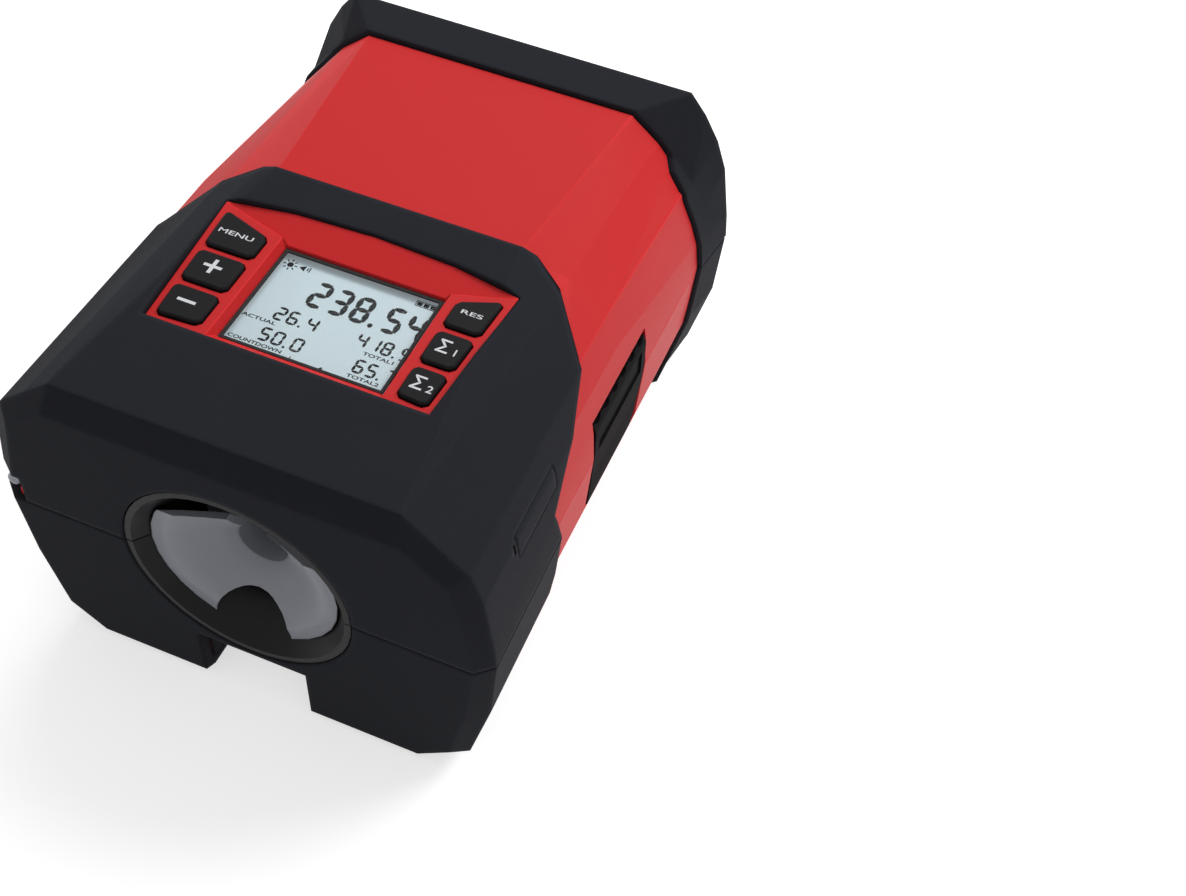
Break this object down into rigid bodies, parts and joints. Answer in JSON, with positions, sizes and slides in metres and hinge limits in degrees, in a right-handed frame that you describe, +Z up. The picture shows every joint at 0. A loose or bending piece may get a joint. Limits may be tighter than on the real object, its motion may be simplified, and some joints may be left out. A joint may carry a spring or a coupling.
{
  "type": "cable length counter",
  "caption": "Box-shaped cable length counter with a hinged lid, side latch, round cable way, sprung measuring wheel, display and keys.",
  "frame": {"origin": "bottom centre of the closed part, on the surface that it stands on", "axes": "+Y along the cable from the display end to the far end, +X from the hinge side to the latch side, +Z up"},
  "size_m": [0.1366, 0.172, 0.1012],
  "materials": {
    "red_polymer": "satin moulded red polymer",
    "black_rubber": "matt moulded black rubber",
    "black_polymer": "fine textured black polymer",
    "gloss_black": "glossy black polymer",
    "grey_polymer": "satin grey polymer",
    "steel": "ground steel",
    "spring_steel": "drawn spring wire",
    "circuit_board": "solder-masked glass epoxy",
    "clear_pane": "clear polymer pane",
    "display_cell": "pale liquid crystal cell",
    "cell_jacket": "metal jacket of a round cell"
  },
  "bodies": {
    "base": {"lower_shell": "red_polymer", "front_bumper_lower": "black_rubber", "rear_bumper_lower": "black_rubber", "base_plate": "black_polymer", "front_funnel_lower": "black_polymer", "rear_funnel_lower": "black_polymer", "front_cable_guide": "grey_polymer", "rear_cable_guide": "grey_polymer", "mounting_rod": "steel", "hinge_pin_front": "steel", "hinge_pin_rear": "steel", "hinge_spring_front": "spring_steel", "hinge_spring_rear": "spring_steel", "latch_pin": "steel", "pivot_pin_left": "steel", "pivot_pin_right": "steel", "arm_spring": "spring_steel"},
    "lid": {"upper_shell": "red_polymer", "front_bumper_upper": "black_rubber", "rear_bumper_upper": "black_rubber", "lid_plate": "black_polymer", "front_funnel_upper": "black_polymer", "rear_funnel_upper": "black_polymer", "catch_bar": "grey_polymer", "display_bezel": "red_polymer", "display_window": "clear_pane", "lcd_module": "display_cell", "display_gasket": "black_rubber", "circuit_board": "circuit_board", "keypad_mat_left": "black_rubber", "keypad_mat_right": "black_rubber", "buzzer": "black_polymer", "battery_tray": "black_polymer", "battery_cell_1": "cell_jacket", "battery_cell_2": "cell_jacket", "battery_cell_3": "cell_jacket", "port_cover": "black_rubber"},
    "latch": {"latch": "gloss_black"},
    "arm": {"measuring_arm": "red_polymer", "wheel_axle": "steel", "sensor_board": "circuit_board", "wheel_bearing_left": "steel", "wheel_bearing_right": "steel"},
    "wheel": {"measuring_wheel": "black_rubber", "wheel_end_ring_left": "steel", "wheel_end_ring_right": "steel", "magnet_ring": "spring_steel"},
    "key_menu_body": {"key_menu": "black_polymer"},
    "key_plus_body": {"key_plus": "black_polymer"},
    "key_minus_body": {"key_minus": "black_polymer"},
    "key_reset_body": {"key_reset": "black_polymer"},
    "key_sum_1_body": {"key_sum_1": "black_polymer"},
    "key_sum_2_body": {"key_sum_2": "black_polymer"}
  },
  "joints": [
    {"name": "lid_hinge", "type": "hinge", "parent": "base", "child": "lid", "pos_m": [-0.0644, 0, 0.0574], "axis": [0, -1, 0], "range_deg": [0, 50]},
    {"name": "latch_pivot", "type": "hinge", "parent": "base", "child": "latch", "pos_m": [0.0578, 0.0055, 0.032], "axis": [0, 1, 0], "range_deg": [0, 40]},
    {"name": "arm_pivot", "type": "hinge", "parent": "base", "child": "arm", "pos_m": [0, 0.05, 0.046], "axis": [1, 0, 0], "range_deg": [0, 30], "stiffness_Nm_per_rad": 0.1, "springref_deg": -28.65},
    {"name": "wheel_spin", "type": "hinge", "parent": "arm", "child": "wheel", "pos_m": [0, 0.007, 0.0431], "axis": [1, 0, 0], "continuous": true},
    {"name": "key_menu_press", "type": "slide", "parent": "lid", "child": "key_menu_body", "axis": [0, 0, -1], "range_m": [0, 0.0008], "stiffness_N_per_m": 800, "springref_m": -0.0005},
    {"name": "key_plus_press", "type": "slide", "parent": "lid", "child": "key_plus_body", "axis": [0, 0, -1], "range_m": [0, 0.0008], "stiffness_N_per_m": 800, "springref_m": -0.0005},
    {"name": "key_minus_press", "type": "slide", "parent": "lid", "child": "key_minus_body", "axis": [0, 0, -1], "range_m": [0, 0.0008], "stiffness_N_per_m": 800, "springref_m": -0.0005},
    {"name": "key_reset_press", "type": "slide", "parent": "lid", "child": "key_reset_body", "axis": [0, 0, -1], "range_m": [0, 0.0008], "stiffness_N_per_m": 800, "springref_m": -0.0005},
    {"name": "key_sum_1_press", "type": "slide", "parent": "lid", "child": "key_sum_1_body", "axis": [0, 0, -1], "range_m": [0, 0.0008], "stiffness_N_per_m": 800, "springref_m": -0.0005},
    {"name": "key_sum_2_press", "type": "slide", "parent": "lid", "child": "key_sum_2_body", "axis": [0, 0, -1], "range_m": [0, 0.0008], "stiffness_N_per_m": 800, "springref_m": -0.0005}
  ]
}
